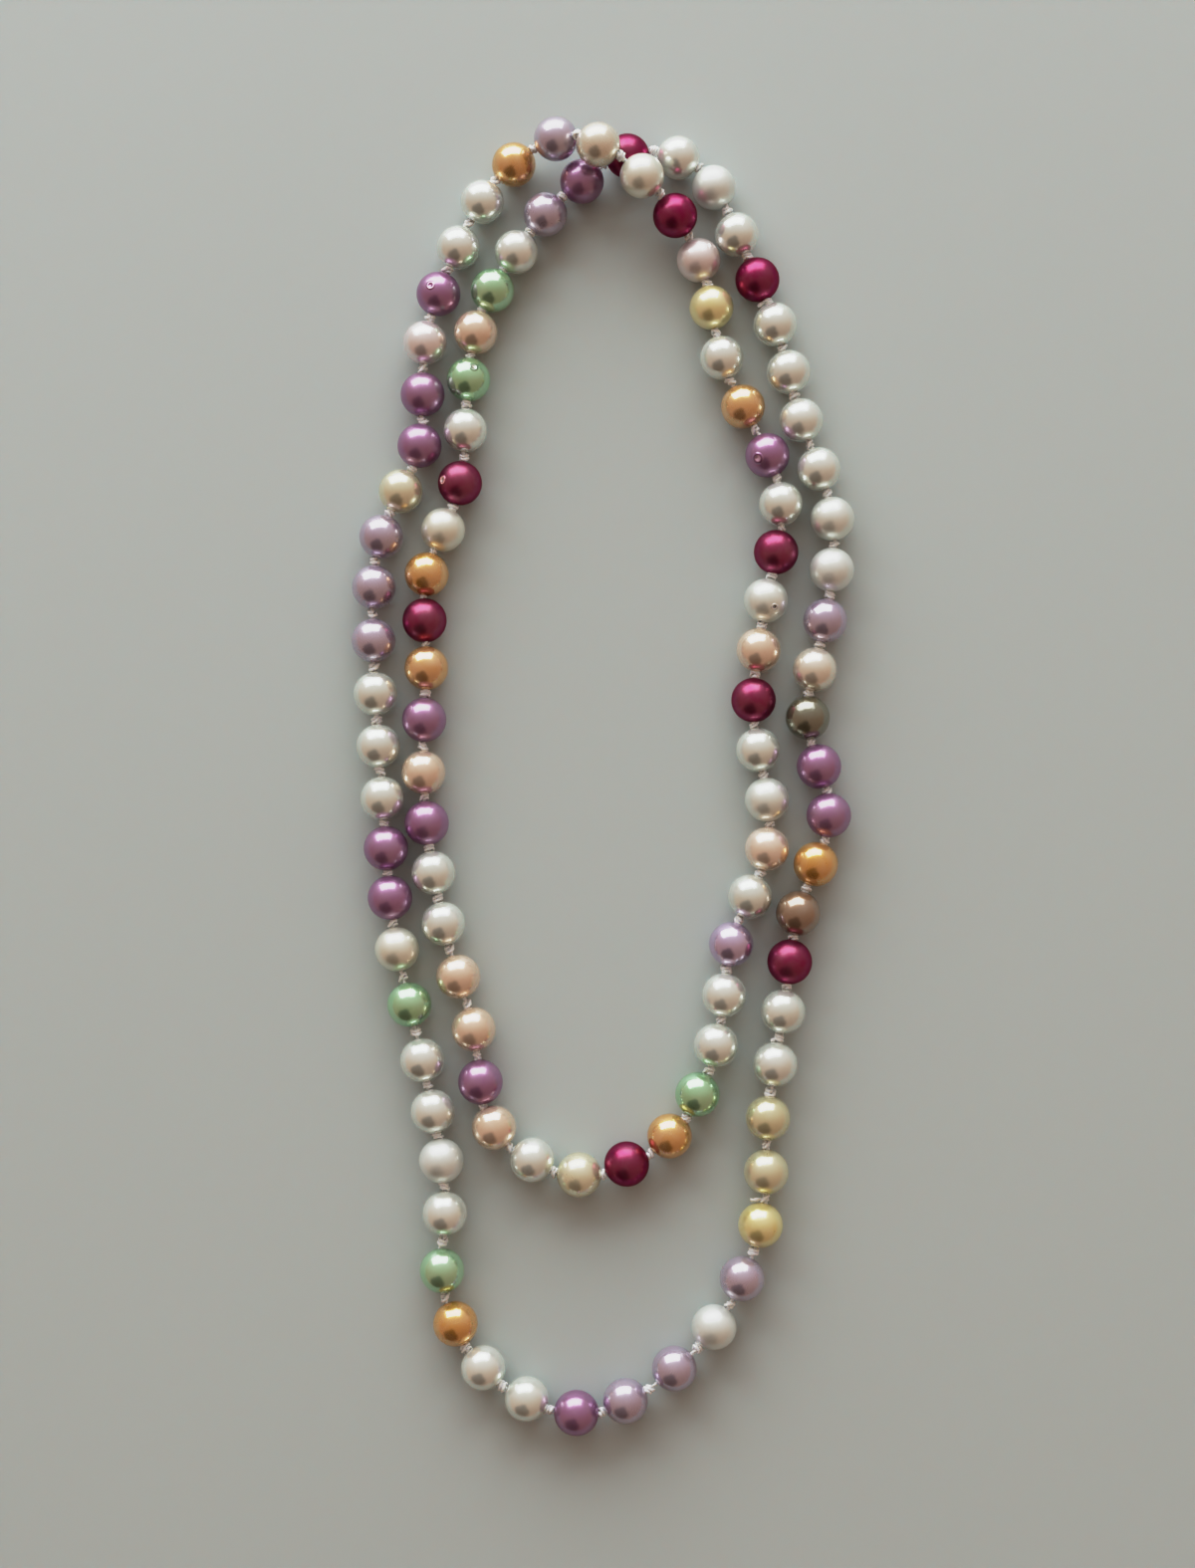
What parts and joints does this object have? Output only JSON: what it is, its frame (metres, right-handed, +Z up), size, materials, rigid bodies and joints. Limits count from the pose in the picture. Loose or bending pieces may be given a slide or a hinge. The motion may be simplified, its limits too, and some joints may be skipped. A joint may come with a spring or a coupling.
{
  "type": "beaded necklace",
  "caption": "Long endless rope of round pearl beads in mixed colours, knotted one by one on silk, lying doubled as one loop inside another.",
  "frame": {"origin": "on the table below the middle of the rope as it lies", "axes": "+Y along the long way of the doubled rope, towards the end where it crosses over itself; +Z up from the table"},
  "size_m": [0.1133, 0.295, 0.018],
  "materials": {
    "pearl_white": "warm white pearl lustre",
    "pearl_satin": "cooler white, softer satin pearl lustre",
    "pearl_cream": "cream pearl lustre",
    "pearl_champagne": "champagne pearl lustre",
    "pearl_blush": "pale pink pearl lustre",
    "pearl_peach": "peach pearl lustre",
    "pearl_butter": "light yellow pearl lustre",
    "pearl_yellow": "yellow pearl lustre",
    "pearl_gold": "deep gold pearl lustre",
    "pearl_bronze": "bronze pearl lustre",
    "pearl_olive": "dark olive, slightly grainy pearl lustre",
    "pearl_green": "green pearl lustre with a pale sheen",
    "pearl_mauve": "mauve pearl lustre",
    "pearl_lilac": "lilac pearl lustre",
    "pearl_plum": "dark plum pearl lustre",
    "pearl_crimson": "dark crimson pearl lustre with a pink sheen",
    "silk": "off-white twisted silk thread, matt"
  },
  "bodies": {
    "root": {"outer_round": "pearl_white", "inner_round": "pearl_white"}
  },
  "joints": []
}
